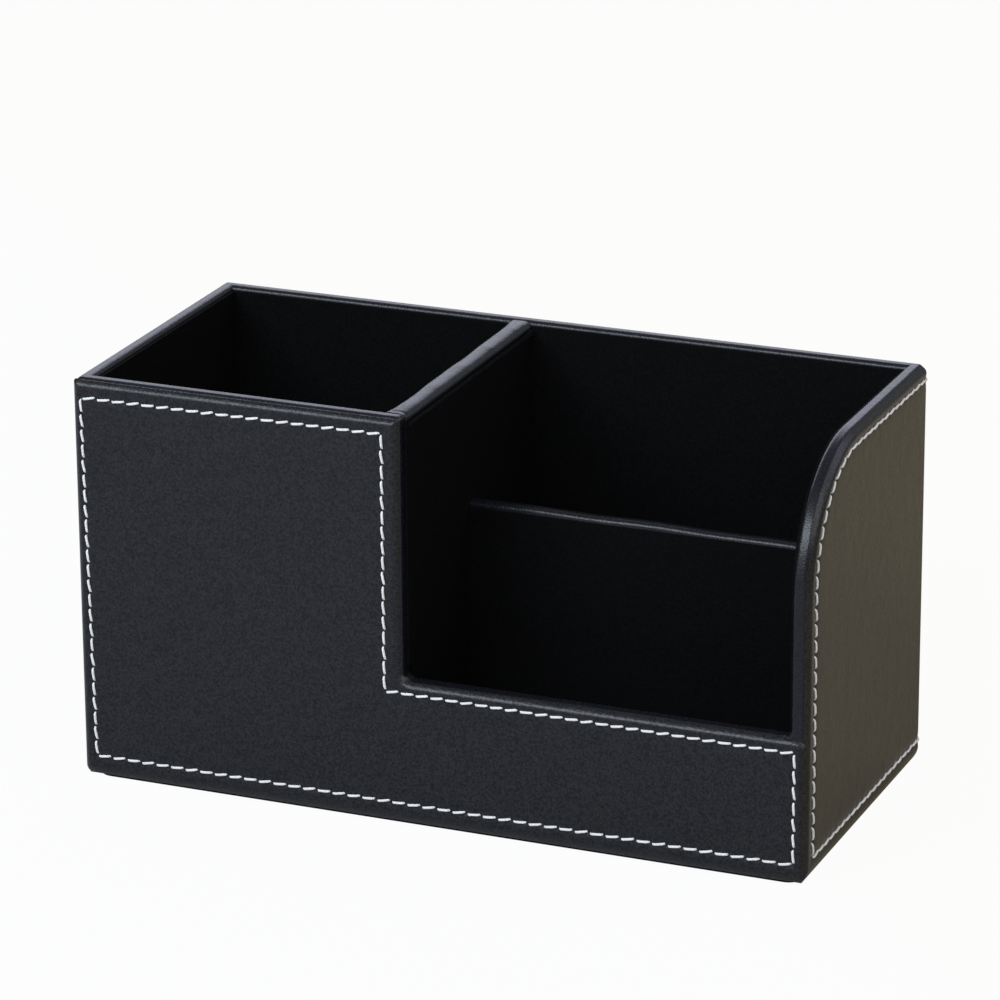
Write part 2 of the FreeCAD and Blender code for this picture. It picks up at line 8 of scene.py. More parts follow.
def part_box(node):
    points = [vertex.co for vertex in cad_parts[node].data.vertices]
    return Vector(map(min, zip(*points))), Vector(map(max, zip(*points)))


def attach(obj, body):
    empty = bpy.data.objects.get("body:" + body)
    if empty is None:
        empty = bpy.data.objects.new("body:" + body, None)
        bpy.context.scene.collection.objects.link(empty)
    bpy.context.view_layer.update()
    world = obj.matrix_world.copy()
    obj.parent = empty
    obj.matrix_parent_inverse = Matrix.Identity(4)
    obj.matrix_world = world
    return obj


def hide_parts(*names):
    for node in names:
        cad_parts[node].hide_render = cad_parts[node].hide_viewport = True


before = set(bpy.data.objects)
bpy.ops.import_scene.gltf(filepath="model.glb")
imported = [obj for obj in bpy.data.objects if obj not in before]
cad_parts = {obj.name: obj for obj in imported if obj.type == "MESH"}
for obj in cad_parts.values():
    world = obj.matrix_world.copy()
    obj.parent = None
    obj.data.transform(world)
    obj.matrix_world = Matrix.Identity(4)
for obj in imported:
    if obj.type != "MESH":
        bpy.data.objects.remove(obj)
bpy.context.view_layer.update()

MM = 0.001


def in_mm(node):
    """Lowest and highest corner of a solid of the frame, in millimetres."""
    low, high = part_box(node)
    return low / MM, high / MM


# Layout read from the frame, in millimetres
LEFT, FRONT, PANEL_BOTTOM = in_mm("front_cover")[0]
RIGHT = in_mm("front_cover")[1].x
BACK = in_mm("surround_cover")[1].y
FRONT_RIM = in_mm("front_rim_binding")[0].y
HEIGHT = in_mm("front_rim_binding")[1].z
BINDING = 0.7                  # leatherette strip over the rims
STEP = in_mm("partition_board")[1].x + BINDING
BOARD_BOTTOM = in_mm("front_board")[0].z

# Sizes of the box that the corners of its solids don't give
LOW_WALL_HEIGHT = 39.5
RIM_REVEAL = 0.45              # how far the bindings stand out past the padded panels' edges
LOW_RIM_REVEAL = 0.0           # the same over the low part of the front
PANEL_TOP = HEIGHT - RIM_REVEAL
SIDE_CURVE_RADIUS = 35.5
STEP_CORNER_RADIUS = 2.4
REAR_CORNER_RADIUS = 2.2
UNDER_DEPTH = 12.0             # how far the panels are turned under the base
PANEL_CORNER_RADIUS = 3.0      # the front panel's upper corner at the low right end
LOWER_CORNER_RADIUS = 2.0      # the panels' lower corners
SHARP_CORNER_RADIUS = 0.8      # the other corners of the panels
CORNER_GAP = 0.3               # from the front panel's upright ends to the sides' faces
LINING_EDGE = 0.4              # rounding of the linings' edges

# Sewing
STITCH_PITCH = 4.15
STITCH_LENGTH = 3.8
THREAD_RADIUS = 0.36
THREAD_RISE = 0.12             # middle of a stitch above its seam
THREAD_SINK = 0.55             # ends of a stitch below its seam
THREAD_BED = 0.12              # depth of the seam under the panel's face where the threads lie
THREAD_DIVE = 5                # power of the curve by which a stitch dips towards its ends
THREAD_TAPER = 0.35            # share of its radius that a thread loses at its ends
TAPER_POWER = 6
STITCH_SLANT = math.radians(8)
STITCH_WOBBLE = math.radians(4)
WOBBLE_TURN = 2.4              # how the wobble runs on from one stitch to the next, in radians
STITCH_CORNER_RADIUS = 0.5
THREAD_SECTIONS = 12
THREAD_SIDES = 8
PLY_TURNS = 2.2
PLY_DEPTH = 0.14               # depth of the groove between the plies, as a share of the radius
# Corners of the front seam, from the box's left end and from the floor
FRONT_SEAM = [(4.0, 6.5), (196.8, 6.0), (196.8, 35.9), (86.5, 36.6), (86.5, 105.4), (2.6, 104.9)]
SIDE_SEAM_FRONT = 6.0          # the side seam's distance from the front
SIDE_SEAM_BOTTOM = 6.3
SIDE_SEAM_TOP = 106.0
SIDE_SEAM_RADIUS = 29.0

# Padding of the panels between their edges and the seam
EDGE_DROP = 1.3                # depth of a panel's edge below its face
EDGE_ROUND = 1.9               # width of the rounded edge at the rims and upright ends
FOOT_ROUND = 3.4               # width of the rounded edge along the bottom
CROWN = 0.05                   # how far the padding stands proud of the face at the end of the rounding
EDGE_STEPS = 9
FALL_STEPS = 5
SEAM_DEPTH = 0.2
HOLE_DEPTH = 0.22
HOLE_REACH = 0.75
SETTLE = 3.5                   # distance over which the face runs out flat beyond the seam
SETTLE_SHARES = (0.14, 0.3, 0.5, 0.75, 1.0)
SETTLE_POWER = 2.2             # power of the curve by which it does

# The roll over the partition and the fold over the divider
ROLL_STEP = 0.5
ROLL_RADIUS = 2.2              # on the pen bay's side
ROLL_SLOPE_RADIUS = 3.2        # on the step bay's side
ROLL_COVER = 0.15              # how far it lies over the lining in the step bay
ROLL_TAIL = 3.5                # how far it reaches down there
ROLL_FULLNESS = 0.8            # what the roll bulges past its solid on the pen bay's side
FRONT_FLARE = 0.9              # how far it widens where it meets the front rim
FRONT_FLARE_REACH = 3.0
REAR_FLARE = 0.8               # how far it widens towards the pen bay where it meets the back rim
REAR_FLARE_STEP = 0.4          # the same towards the step bay
REAR_FLARE_REACH = 4.0
TUCK_PLACE = 1.4               # the small gather behind the front rim
TUCK_DEPTH = 0.2
TUCK_REACH = 0.5
WAVE_HEIGHT = 0.12
WAVE_LENGTH = 34.0
FOLD_STEP = 1.0
FOLD_RADIUS = 1.4
FOLD_RISE = 0.6                # how far the fold stands above its solid at its left end
FOLD_POWER = 3                 # power of the curve by which that rise is lost to the right
FOLD_FLOOR = 5.0
FOOT_RADIUS = 0.1

# Fineness of the meshes
COLUMN = 0.55                  # spacing of the mesh along an edge
CORNER_STEPS = 6               # steps round a panel's corner
CURVE_STEPS = 100              # steps round the side's large curve
FOOT_STEPS = 2                 # steps round the lower corners of the roll and the fold
TOP_STEPS = 10                 # steps round their upper corners
SOFT_STEPS = 3                 # steps round a lining's edge
LEAST_RADIUS = 0.05            # smallest rounding of an outline's corner
MERGE_DISTANCE = 0.004         # points nearer to each other than this become one
NEAR = 0.001                   # runs along the surround panel nearer than this are the same
RUN_DIGITS = 4                 # digits by which points above each other are matched
SHARP_ANGLE = math.radians(50)

# Surface of the leatherette
SLOW_SIZE = 24.0
SLOW_DEPTH = 0.25
WRINKLE_SIZE = 5.0
WRINKLE_DEPTH = 0.12
PORE_SIZE = 0.3
PORE_SHARE = 0.4               # depth of the pores, as a share of the grain's
SPECKLE_SIZE = 0.6
SPECKLE_RANGE = (0.35, 0.65)   # values of the noise between which the tone changes
NOISE_RANGE = (0.3, 0.7)       # values of the other noises between which they act

# Floor, in metres
FLOOR_HALF = 6.0
FLOOR_LEVEL = -0.0001          # just under the felt
FLOOR_ROUGHNESS = 0.9
PAINTED_LIGHT_TURN = math.radians(-45)  # the floor's painted light runs towards the right rear
PAINTED_LIGHT_REACH = (-0.06, 0.34)     # from where to where along that way
PAINTED_LIGHT_RANGE = (0.2, 0.95)       # shares of the reach at which the first and the last tone lie
# Painted light on the floor: a cool tone on the left and a warm glow towards the right rear, a touch darker
# nearest the box's right side as painted shade, for the box's gloss and bounce to pick up
PAINTED_COOL_LIGHT = (0.54, 0.54, 0.56)
PAINTED_LIGHT_AND_SHADE_NEAR = (0.54, 0.45, 0.27)
PAINTED_LIGHT_AND_SHADE_PLACE = 0.3
PAINTED_WARM_LIGHT_FAR = (0.56, 0.46, 0.27)


def new_piece(name, points, faces, material, nodes):
    """A closed smooth mesh from points in millimetres, riding on the box in place of some solids."""
    mesh = bpy.data.meshes.new(name)
    mesh.from_pydata([Vector(point) * MM for point in points], [], faces)
    shape = bmesh.new()
    shape.from_mesh(mesh)
    bmesh.ops.remove_doubles(shape, verts=shape.verts, dist=MERGE_DISTANCE * MM)
    bmesh.ops.recalc_face_normals(shape, faces=shape.faces)
    shape.to_mesh(mesh)
    shape.free()
    mesh.shade_smooth()
    mesh.set_sharp_from_angle(angle=SHARP_ANGLE)
    piece = bpy.data.objects.new(name, mesh)
    bpy.context.scene.collection.objects.link(piece)
    mesh.materials.append(material)
    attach(piece, "root")
    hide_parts(*nodes)


def corner_arc(before, corner, after, radius, steps):
    """Points of the arc that rounds a corner, from its first tangent point to its last."""
    to_before = (before - corner).normalized()
    to_after = (after - corner).normalized()
    half_angle = to_before.angle(to_after) / 2
    reach = radius / math.tan(half_angle)
    centre = corner + (to_before + to_after).normalized() * (radius / math.sin(half_angle))
    start = corner + to_before * reach - centre
    end = corner + to_after * reach - centre
    turn = start.angle_signed(end) * -1
    points = []
    for step in range(steps + 1):
        angle = turn * step / steps
        spin = Matrix.Rotation(angle, 2)
        points.append(centre + spin @ start)
    return points


def rounded_outline(corners, arc_steps, side_points):
    """A closed outline: an arc at each (u, v, radius) corner, and the inner points of each side after it."""
    count = len(corners)
    arcs = []
    for index, (u, v, radius) in enumerate(corners):
        before = Vector(corners[index - 1][:2])
        after = Vector(corners[(index + 1) % count][:2])
        arcs.append(corner_arc(before, Vector((u, v)), after, radius, arc_steps[index]))
    points = []
    for index, arc in enumerate(arcs):
        points += arc
        points += side_points[index](arc[-1], arcs[(index + 1) % count][0])
    return points


def even_side(length):
    """A side with evenly spaced points, about a column apart on a side of this length."""
    count = round(length / COLUMN)

    def points(start, end):
        return [start.lerp(end, step / count) for step in range(1, count)]
    return points


def no_points(start, end):
    """A side with no points between its two arcs."""
    return []


def blend_corners(first, second, share):
    """Corners part of the way from one outline to another."""
    return [tuple(a + (b - a) * share for a, b in zip(one, two)) for one, two in zip(first, second)]


def inset_corners(corners, ways, distance, foot_distance):
    """Corners moved inwards along their own ways, those along the bottom up by a distance of their own."""
    moved = []
    for (u, v, radius), (along, up, grow) in zip(corners, ways):
        rise = foot_distance if up > 0 else distance
        moved.append((u + along * distance, v + up * rise, max(radius + grow * distance, LEAST_RADIUS)))
    return moved


def panel_outlines(edge, seam, ways):
    """A padded panel's outlines: its edge, its crest where the rounding ends, its seam and its flat middle."""
    crest = inset_corners(edge, ways, EDGE_ROUND, FOOT_ROUND)
    flat = inset_corners(seam, ways, SETTLE, SETTLE)
    return edge, crest, seam, flat


def ring_plan():
    """Rings of a padded panel from its edge inwards: stretch, share of the way along it, and height.

    The stretches are 0 from the edge to the crest, 1 from the crest to the seam, and 2 from the seam to
    where the face lies flat.
    """
    rings = []
    for step in range(EDGE_STEPS + 1):
        share = step / EDGE_STEPS
        rings.append((0, share, CROWN - (EDGE_DROP + CROWN) * (1 - share) ** 2))
    for step in range(1, FALL_STEPS + 1):
        share = step / FALL_STEPS
        fall = (SEAM_DEPTH + CROWN) * (1 - math.cos(share * math.pi)) / 2
        rings.append((1, share, CROWN - fall))
    for share in SETTLE_SHARES:
        rings.append((2, share, -SEAM_DEPTH * (1 - share) ** SETTLE_POWER))
    return rings


def hole_dip(stretch, share, along):
    """How far the needle holes pull the face down at one point of a ring."""
    seam_place = 2
    away = SETTLE * abs(stretch + share - seam_place)
    return HOLE_DEPTH * math.exp(-(along / HOLE_REACH) ** 2 - (away / HOLE_REACH) ** 2)


def running_lengths(points):
    """Length along a line of points, from the first to each of them."""
    runs = [0.0]
    for here, ahead in zip(points, points[1:]):
        runs.append(runs[-1] + (ahead - here).length)
    return runs


def seam_stretches(seam_points, seam, turns):
    """Point numbers of the seam's stretches between the corners where the sewing turns."""
    size = len(seam_points)
    cuts = []
    for index in turns:
        corner = Vector(seam[index][:2])
        cuts.append(min(range(size), key=lambda i: (seam_points[i] - corner).length))
    stretches = []
    for first, last in zip(cuts, cuts[1:] + cuts[:1]):
        stretches.append([(first + i) % size for i in range((last - first) % size + 1)])
    return stretches


def hole_distances(seam_points, stretches):
    """Distance of each point of the seam from the nearest needle hole along it."""
    away = [0.0] * len(seam_points)
    for numbers in stretches:
        runs = running_lengths([seam_points[i] for i in numbers])
        step = runs[-1] / round(runs[-1] / STITCH_PITCH)
        for number, run in zip(numbers, runs):
            away[number] = abs(run - round(run / step) * step)
    return away


def padded_rings(outlines, arc_steps, side_points, turns):
    """Rings of (u, v, height) points through a panel's outlines, and the seam's points between its turns."""
    seam = outlines[2]
    seam_points = rounded_outline(seam, arc_steps, side_points)
    stretches = seam_stretches(seam_points, seam, turns)
    from_hole = hole_distances(seam_points, stretches)
    rings = []
    for stretch, share, height in ring_plan():
        corners = blend_corners(outlines[stretch], outlines[stretch + 1], share)
        outline = rounded_outline(corners, arc_steps, side_points)
        ring = []
        for point, along in zip(outline, from_hole):
            ring.append((point.x, point.y, height - hole_dip(stretch, share, along)))
        rings.append(ring)
    return rings, [[seam_points[i] for i in numbers] for numbers in stretches]


def band_faces(start, rings, size):
    """Quads between rings of as many points each, which follow each other from a point number on."""
    faces = []
    for ring in range(rings - 1):
        first = start + ring * size
        for here in range(size):
            ahead = (here + 1) % size
            faces.append((first + here, first + ahead, first + size + ahead, first + size + here))
    return faces


def tube_faces(start, rings, size):
    """Quads between rings, and a face at both ends."""
    last = start + (rings - 1) * size
    ends = [tuple(range(start, start + size)), tuple(range(last, last + size))]
    return band_faces(start, rings, size) + ends


def add_slab(points, faces, outline, low, high):
    """A flat prism added to a mesh: an outline seen from above, between two heights."""
    faces += tube_faces(len(points), 2, len(outline))
    for level in (low, high):
        points += [(x, y, level) for x, y in outline]


def front_outlines():
    """Outlines of the stepped front panel."""
    left = LEFT + CORNER_GAP
    right = RIGHT - CORNER_GAP
    step = STEP - RIM_REVEAL
    low = LOW_WALL_HEIGHT - LOW_RIM_REVEAL
    sharp = SHARP_CORNER_RADIUS
    lower = LOWER_CORNER_RADIUS
    edge = [(left, PANEL_BOTTOM, lower), (right, PANEL_BOTTOM, lower), (right, low, PANEL_CORNER_RADIUS),
            (step, low, STEP_CORNER_RADIUS + RIM_REVEAL), (step, PANEL_TOP, sharp), (left, PANEL_TOP, sharp)]
    seam = [(LEFT + u, v, STITCH_CORNER_RADIUS) for u, v in FRONT_SEAM]
    ways = [(1, 1, -1), (-1, 1, -1), (-1, -1, -1), (-1, -1, 1), (-1, -1, -1), (1, -1, -1)]
    return panel_outlines(edge, seam, ways)


def front_panel(material):
    """The padded stepped panel on the front, with its edge turned under the base."""
    outlines = front_outlines()
    edge = outlines[0]
    count = len(edge)
    lengths = [math.dist(edge[i][:2], edge[(i + 1) % count][:2]) for i in range(count)]
    side_points = [even_side(length) for length in lengths]
    rings, stretches = padded_rings(outlines, [CORNER_STEPS] * count, side_points, range(count))
    points = []
    for ring in rings:
        points += [(u, FRONT - h, v) for u, v, h in ring]
    faces = tube_faces(0, len(rings), len(rings[0]))
    left = LEFT + EDGE_DROP
    right = RIGHT - EDGE_DROP
    front = FRONT + EDGE_DROP
    under = [(left, front), (right, front), (right, FRONT + UNDER_DEPTH), (left, FRONT + UNDER_DEPTH)]
    add_slab(points, faces, under, PANEL_BOTTOM, BOARD_BOTTOM)
    new_piece("front_panel", points, faces, material, ["front_cover"])
    return stretches


def on_front(u, v, height):
    """A point of the front panel in space, and the way out of its face."""
    return Vector((u, FRONT - height, v)), Vector((0, -1, 0))


# Run of the surround panel, measured from its front edge on the left to its front edge on the right
STRAIGHT = BACK - REAR_CORNER_RADIUS - FRONT_RIM
QUARTER = REAR_CORNER_RADIUS * math.pi / 2
ACROSS = RIGHT - LEFT - 2 * REAR_CORNER_RADIUS
LEFT_BEND = (STRAIGHT, STRAIGHT + QUARTER)
RIGHT_BEND = (STRAIGHT + QUARTER + ACROSS, STRAIGHT + 2 * QUARTER + ACROSS)
RUN = 2 * STRAIGHT + 2 * QUARTER + ACROSS
LEAD = 20.0                    # stretch at each end where the columns close up towards the inner rings


def way_out(turn):
    """The way out of the surround panel's face, by its turn from the left side."""
    return Vector((-math.cos(turn), math.sin(turn), 0))


def wrap(run, rise, height):
    """A point of the surround panel in space, and the way out of its face there."""
    corner = REAR_CORNER_RADIUS
    if run < LEFT_BEND[0]:
        turn = 0.0
        base = Vector((LEFT, FRONT_RIM + run, rise))
    elif run < LEFT_BEND[1]:
        turn = (run - LEFT_BEND[0]) / corner
        base = Vector((LEFT + corner, BACK - corner, rise)) + way_out(turn) * corner
    elif run < RIGHT_BEND[0]:
        turn = math.pi / 2
        base = Vector((LEFT + corner + run - LEFT_BEND[1], BACK, rise))
    elif run < RIGHT_BEND[1]:
        turn = math.pi / 2 + (run - RIGHT_BEND[0]) / corner
        base = Vector((RIGHT - corner, BACK - corner, rise)) + way_out(turn) * corner
    else:
        turn = math.pi
        base = Vector((RIGHT, FRONT_RIM + RUN - run, rise))
    return base + way_out(turn) * height, way_out(turn)


def surround_columns(end):
    """Runs of the mesh columns from the panel's left end to another, some at the ends of the bends."""
    marks = [0.0] + [mark for mark in LEFT_BEND + RIGHT_BEND if mark < end] + [end]
    columns = []
    for first, last in zip(marks, marks[1:]):
        count = round((last - first) / COLUMN)
        columns += [first + (last - first) * step / count for step in range(count)]
    return columns[1:]


def long_side(columns, end, backwards):
    """A side of the surround panel through fixed columns, which close up only near its two ends."""
    def points(start, stop):
        first, last = (stop, start) if backwards else (start, stop)
        placed = []
        for run in columns:
            u = run
            if run < LEAD:
                u = first.x + run / LEAD * (LEAD - first.x)
            elif run > end - LEAD:
                u = last.x - (end - run) / LEAD * (LEAD - (end - last.x))
            placed.append(Vector((u, first.y + (last.y - first.y) * (u - first.x) / (last.x - first.x))))
        return placed[::-1] if backwards else placed
    return points


def surround_outlines():
    """Outlines of the unrolled surround panel."""
    lower = LOWER_CORNER_RADIUS
    edge = [(0, PANEL_BOTTOM, lower), (RUN, PANEL_BOTTOM, lower),
            (RUN - RIM_REVEAL, PANEL_TOP, SIDE_CURVE_RADIUS - RIM_REVEAL),
            (0, PANEL_TOP, SHARP_CORNER_RADIUS)]
    start = SIDE_SEAM_FRONT - (FRONT_RIM - FRONT)
    end = RUN - start
    radius = STITCH_CORNER_RADIUS
    seam = [(start, SIDE_SEAM_BOTTOM, radius), (end, SIDE_SEAM_BOTTOM, radius),
            (end, SIDE_SEAM_TOP, SIDE_SEAM_RADIUS), (start, SIDE_SEAM_TOP, radius)]
    ways = [(1, 1, -1), (-1, 1, -1), (-1, -1, -1), (1, -1, -1)]
    return panel_outlines(edge, seam, ways)


def flats_and_bends(ring, start):
    """Faces that close a ring of the surround panel: one for each flat wall, and quads round the bends."""
    middle = (PANEL_TOP + PANEL_BOTTOM) / 2
    lower = {round(run, RUN_DIGITS): i for i, (run, rise, _) in enumerate(ring) if rise < middle}
    upper = {round(run, RUN_DIGITS): i for i, (run, rise, _) in enumerate(ring) if rise > middle}
    faces = []
    for first, last in (LEFT_BEND, RIGHT_BEND):
        columns = sorted(run for run in lower if first - NEAR < run < last + NEAR)
        for one, two in zip(columns, columns[1:]):
            faces.append((start + lower[one], start + lower[two], start + upper[two], start + upper[one]))
    for first, last in ((0, LEFT_BEND[0]), (LEFT_BEND[1], RIGHT_BEND[0]), (RIGHT_BEND[1], RUN)):
        wall = [start + i for i, (run, _, _) in enumerate(ring) if first - NEAR < run < last + NEAR]
        faces.append(tuple(wall))
    return faces


def surround_panel(material):
    """The padded panel in one length round the left side, back and right side, turned under the base."""
    top_end = RUN - SIDE_CURVE_RADIUS
    side_points = [
        long_side(surround_columns(RUN), RUN, False),
        even_side(PANEL_TOP - SIDE_CURVE_RADIUS),
        long_side(surround_columns(top_end), top_end, True),
        even_side(PANEL_TOP),
    ]
    arc_steps = [CORNER_STEPS, CORNER_STEPS, CURVE_STEPS, CORNER_STEPS]
    sewn_corners = [index for index, steps in enumerate(arc_steps) if steps == CORNER_STEPS]
    rings, stretches = padded_rings(surround_outlines(), arc_steps, side_points, sewn_corners)
    points = []
    for ring in rings:
        points += [wrap(u, v, h)[0] for u, v, h in ring]
    size = len(rings[0])
    faces = band_faces(0, len(rings), size)
    faces += flats_and_bends(rings[-1], (len(rings) - 1) * size)
    faces += flats_and_bends(rings[0], 0)
    ahead = FRONT + UNDER_DEPTH
    left = LEFT + EDGE_DROP
    right = RIGHT - EDGE_DROP
    back = BACK - EDGE_DROP
    under = [(left, ahead), (left, back), (right, back), (right, ahead),
             (RIGHT - UNDER_DEPTH, ahead), (RIGHT - UNDER_DEPTH, BACK - UNDER_DEPTH),
             (LEFT + UNDER_DEPTH, BACK - UNDER_DEPTH), (LEFT + UNDER_DEPTH, ahead)]
    add_slab(points, faces, under, PANEL_BOTTOM, BOARD_BOTTOM)
    new_piece("surround_panel", points, faces, material, ["surround_cover"])
    return stretches


def stitch_mesh(points, faces, place, way, in_space):
    """One twisted stitch added to a mesh: it lies on the seam and dips into a hole at both ends."""
    faces += tube_faces(len(points), THREAD_SECTIONS + 1, THREAD_SIDES)
    for section in range(THREAD_SECTIONS + 1):
        share = 2 * section / THREAD_SECTIONS - 1
        lift = THREAD_RISE - (THREAD_RISE + THREAD_SINK) * abs(share) ** THREAD_DIVE - THREAD_BED
        radius = THREAD_RADIUS * (1 - THREAD_TAPER * abs(share) ** TAPER_POWER)
        here = place + way * (share * STITCH_LENGTH / 2)
        ahead = here + way * THREAD_RADIUS
        centre, outward = in_space(here.x, here.y, lift)
        across = outward.cross(in_space(ahead.x, ahead.y, lift)[0] - centre).normalized()
        for side in range(THREAD_SIDES):
            angle = 2 * math.pi * side / THREAD_SIDES
            ply = 1 - PLY_DEPTH * (1 - abs(math.cos(angle - PLY_TURNS * math.pi * share)))
            ring = across * math.cos(angle) + outward * math.sin(angle)
            points.append(centre + ring * (radius * ply))


def seam_places(stretches):
    """Middle and direction of each stitch, with a hole at both ends of every stretch of the seam."""
    places = []
    for stretch in stretches:
        runs = running_lengths(stretch)
        count = round(runs[-1] / STITCH_PITCH)
        step = runs[-1] / count
        index = 0
        for number in range(count):
            run = (number + 0.5) * step
            while runs[index + 1] < run:
                index += 1
            here = stretch[index]
            ahead = stretch[index + 1]
            share = (run - runs[index]) / (runs[index + 1] - runs[index])
            places.append((here.lerp(ahead, share), (ahead - here).normalized()))
    return places


def sew(name, stretches, in_space, slant, material, node):
    """All stitches of a seam, as one group of separate threads."""
    points = []
    faces = []
    for number, (place, way) in enumerate(seam_places(stretches)):
        turn = Matrix.Rotation(slant + STITCH_WOBBLE * math.sin(number * WOBBLE_TURN), 2)
        stitch_mesh(points, faces, place, turn @ way, in_space)
    new_piece(name, points, faces, material, [node])


def loft(name, sections, material, nodes):
    """A closed piece through sections that have as many points each."""
    points = [point for section in sections for point in section]
    faces = tube_faces(0, len(sections), len(sections[0]))
    new_piece(name, points, faces, material, nodes)


def swell(place, centre, reach):
    """1 at a place, fading out over a reach on both sides of it."""
    return math.exp(-((place - centre) / reach) ** 2)


def wave(place):
    """How far a strip wanders at a place along it."""
    return WAVE_HEIGHT * math.sin(2 * math.pi * place / WAVE_LENGTH)


def folded_section(corners):
    """Outline of a strip over an edge: its last two corners are the rounded ones on top."""
    lower = len(corners) - 2
    arc_steps = [FOOT_STEPS] * lower + [TOP_STEPS] * 2
    return rounded_outline(corners, arc_steps, [no_points] * len(corners))


def partition_roll(material):
    """The strip rolled over the partition: full on the pen bay's side, and wider where it meets the rims."""
    low, high = in_mm("partition_cap")
    face = in_mm("step_bay_left_lining")[1].x + ROLL_COVER
    tail = high.z - ROLL_TAIL
    count = round((high.y - low.y) / ROLL_STEP)
    sections = []
    for step in range(count + 1):
        y = low.y + (high.y - low.y) * step / count
        at_front = swell(y, low.y, FRONT_FLARE_REACH)
        at_back = swell(y, high.y, REAR_FLARE_REACH)
        left = low.x - ROLL_FULLNESS - FRONT_FLARE * at_front - REAR_FLARE * at_back + wave(y)
        right = face + REAR_FLARE_STEP * at_back
        top = high.z - TUCK_DEPTH * swell(y, low.y + TUCK_PLACE, TUCK_REACH) - abs(wave(y))
        corners = [(left, low.z, FOOT_RADIUS), (high.x, low.z, FOOT_RADIUS), (high.x, tail, FOOT_RADIUS),
                   (right, tail, FOOT_RADIUS), (right, top, ROLL_SLOPE_RADIUS), (left, top, ROLL_RADIUS)]
        sections.append([(u, y, v) for u, v in folded_section(corners)])
    loft("partition_roll", sections, material, ["partition_cap"])


def divider_fold(material):
    """The strip folded over the divider, a little fuller at its left end."""
    low, high = in_mm("divider_sleeve")
    count = round((high.x - low.x) / FOLD_STEP)
    sections = []
    for step in range(count + 1):
        share = step / count
        x = low.x + (high.x - low.x) * share
        top = high.z + FOLD_RISE * (1 - share ** FOLD_POWER) + wave(x)
        corners = [(low.y, FOLD_FLOOR, FOOT_RADIUS), (high.y, FOLD_FLOOR, FOOT_RADIUS),
                   (high.y, top, FOLD_RADIUS), (low.y, top, FOLD_RADIUS)]
        sections.append([(x, u, v) for u, v in folded_section(corners)])
    loft("divider_fold", sections, material, ["divider_sleeve"])


def soften(names, width_mm):
    """Round the sharp edges of solids of the frame."""
    for name in names:
        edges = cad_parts[name].modifiers.new("soft_edges", "BEVEL")
        edges.width = width_mm * MM
        edges.segments = SOFT_STEPS
        edges.limit_method = "ANGLE"
        edges.angle_limit = SHARP_ANGLE


def new_material(name, gloss=0.5):
    """An empty material with its shader, and the coordinates that its patterns follow."""
    material = bpy.data.materials.new(name)
    material.use_nodes = True
    tree = material.node_tree
    shader = tree.nodes["Principled BSDF"]
    shader.inputs["Specular IOR Level"].default_value = gloss
    place = tree.nodes.new("ShaderNodeTexCoord")
    return material, tree, shader, place.outputs["Object"]


def noise_field(tree, place, size_mm, detail):
    """Soft noise whose features are about this many millimetres across."""
    field = tree.nodes.new("ShaderNodeTexNoise")
    field.inputs["Scale"].default_value = 1.0 / (size_mm * MM)
    field.inputs["Detail"].default_value = detail
    tree.links.new(place, field.inputs["Vector"])
    return field.outputs["Fac"]


def cell_field(tree, place, size_mm):
    """Cells about this many millimetres across, by the distance from their middles."""
    cells = tree.nodes.new("ShaderNodeTexVoronoi")
    cells.inputs["Scale"].default_value = 1.0 / (size_mm * MM)
    tree.links.new(place, cells.inputs["Vector"])
    return cells.outputs["Distance"]


def ramp(tree, value, first, last, reach=NOISE_RANGE, between=()):
    """A colour by a value: from a first to a last one, through any stops of (place, colour) between."""
    node = tree.nodes.new("ShaderNodeValToRGB")
    stops = node.color_ramp.elements
    stops[0].position = reach[0]
    stops[1].position = reach[1]
    stops[0].color = (*first, 1)
    stops[1].color = (*last, 1)
    for place, colour in between:
        stops.new(place).color = (*colour, 1)
    tree.links.new(value, node.inputs["Fac"])
    return node.outputs["Color"]


def span(tree, value, low, high, reach=NOISE_RANGE):
    """A number between two others, by a value."""
    node = tree.nodes.new("ShaderNodeMapRange")
    node.inputs["From Min"].default_value = reach[0]
    node.inputs["From Max"].default_value = reach[1]
    node.inputs["To Min"].default_value = low
    node.inputs["To Max"].default_value = high
    tree.links.new(value, node.inputs["Value"])
    return node.outputs["Result"]


def bump(tree, height, depth_mm, below=None):
    """A bump of this depth, over another one if given."""
    node = tree.nodes.new("ShaderNodeBump")
    node.inputs["Strength"].default_value = 1.0
    node.inputs["Distance"].default_value = depth_mm * MM
    tree.links.new(height, node.inputs["Height"])
    if below is not None:
        tree.links.new(below, node.inputs["Normal"])
    return node.outputs["Normal"]


def lead_in(tree, shader, colour, roughness, normal=None):
    """Lead the patterns of a material into its shader."""
    tree.links.new(colour, shader.inputs["Base Color"])
    tree.links.new(roughness, shader.inputs["Roughness"])
    if normal is not None:
        tree.links.new(normal, shader.inputs["Normal"])


def leatherette(name, dark, light, grain_mm, grain_depth, rough_low, rough_high, gloss):
    """Black leatherette: speckled, with raised grain, fine pores, slight wrinkles and slow unevenness."""
    material, tree, shader, place = new_material(name, gloss)
    slow = noise_field(tree, place, SLOW_SIZE, detail=3.0)
    wrinkle = noise_field(tree, place, WRINKLE_SIZE, detail=2.0)
    pores = noise_field(tree, place, PORE_SIZE, detail=2.0)
    speckle = noise_field(tree, place, SPECKLE_SIZE, detail=5.0)
    grain = cell_field(tree, place, grain_mm)
    uneven = bump(tree, wrinkle, WRINKLE_DEPTH, bump(tree, slow, SLOW_DEPTH))
    raised = bump(tree, grain, -grain_depth, uneven)
    pitted = bump(tree, pores, grain_depth * PORE_SHARE, raised)
    colour = ramp(tree, speckle, dark, light, SPECKLE_RANGE)
    lead_in(tree, shader, colour, span(tree, pores, rough_low, rough_high), pitted)
    return material


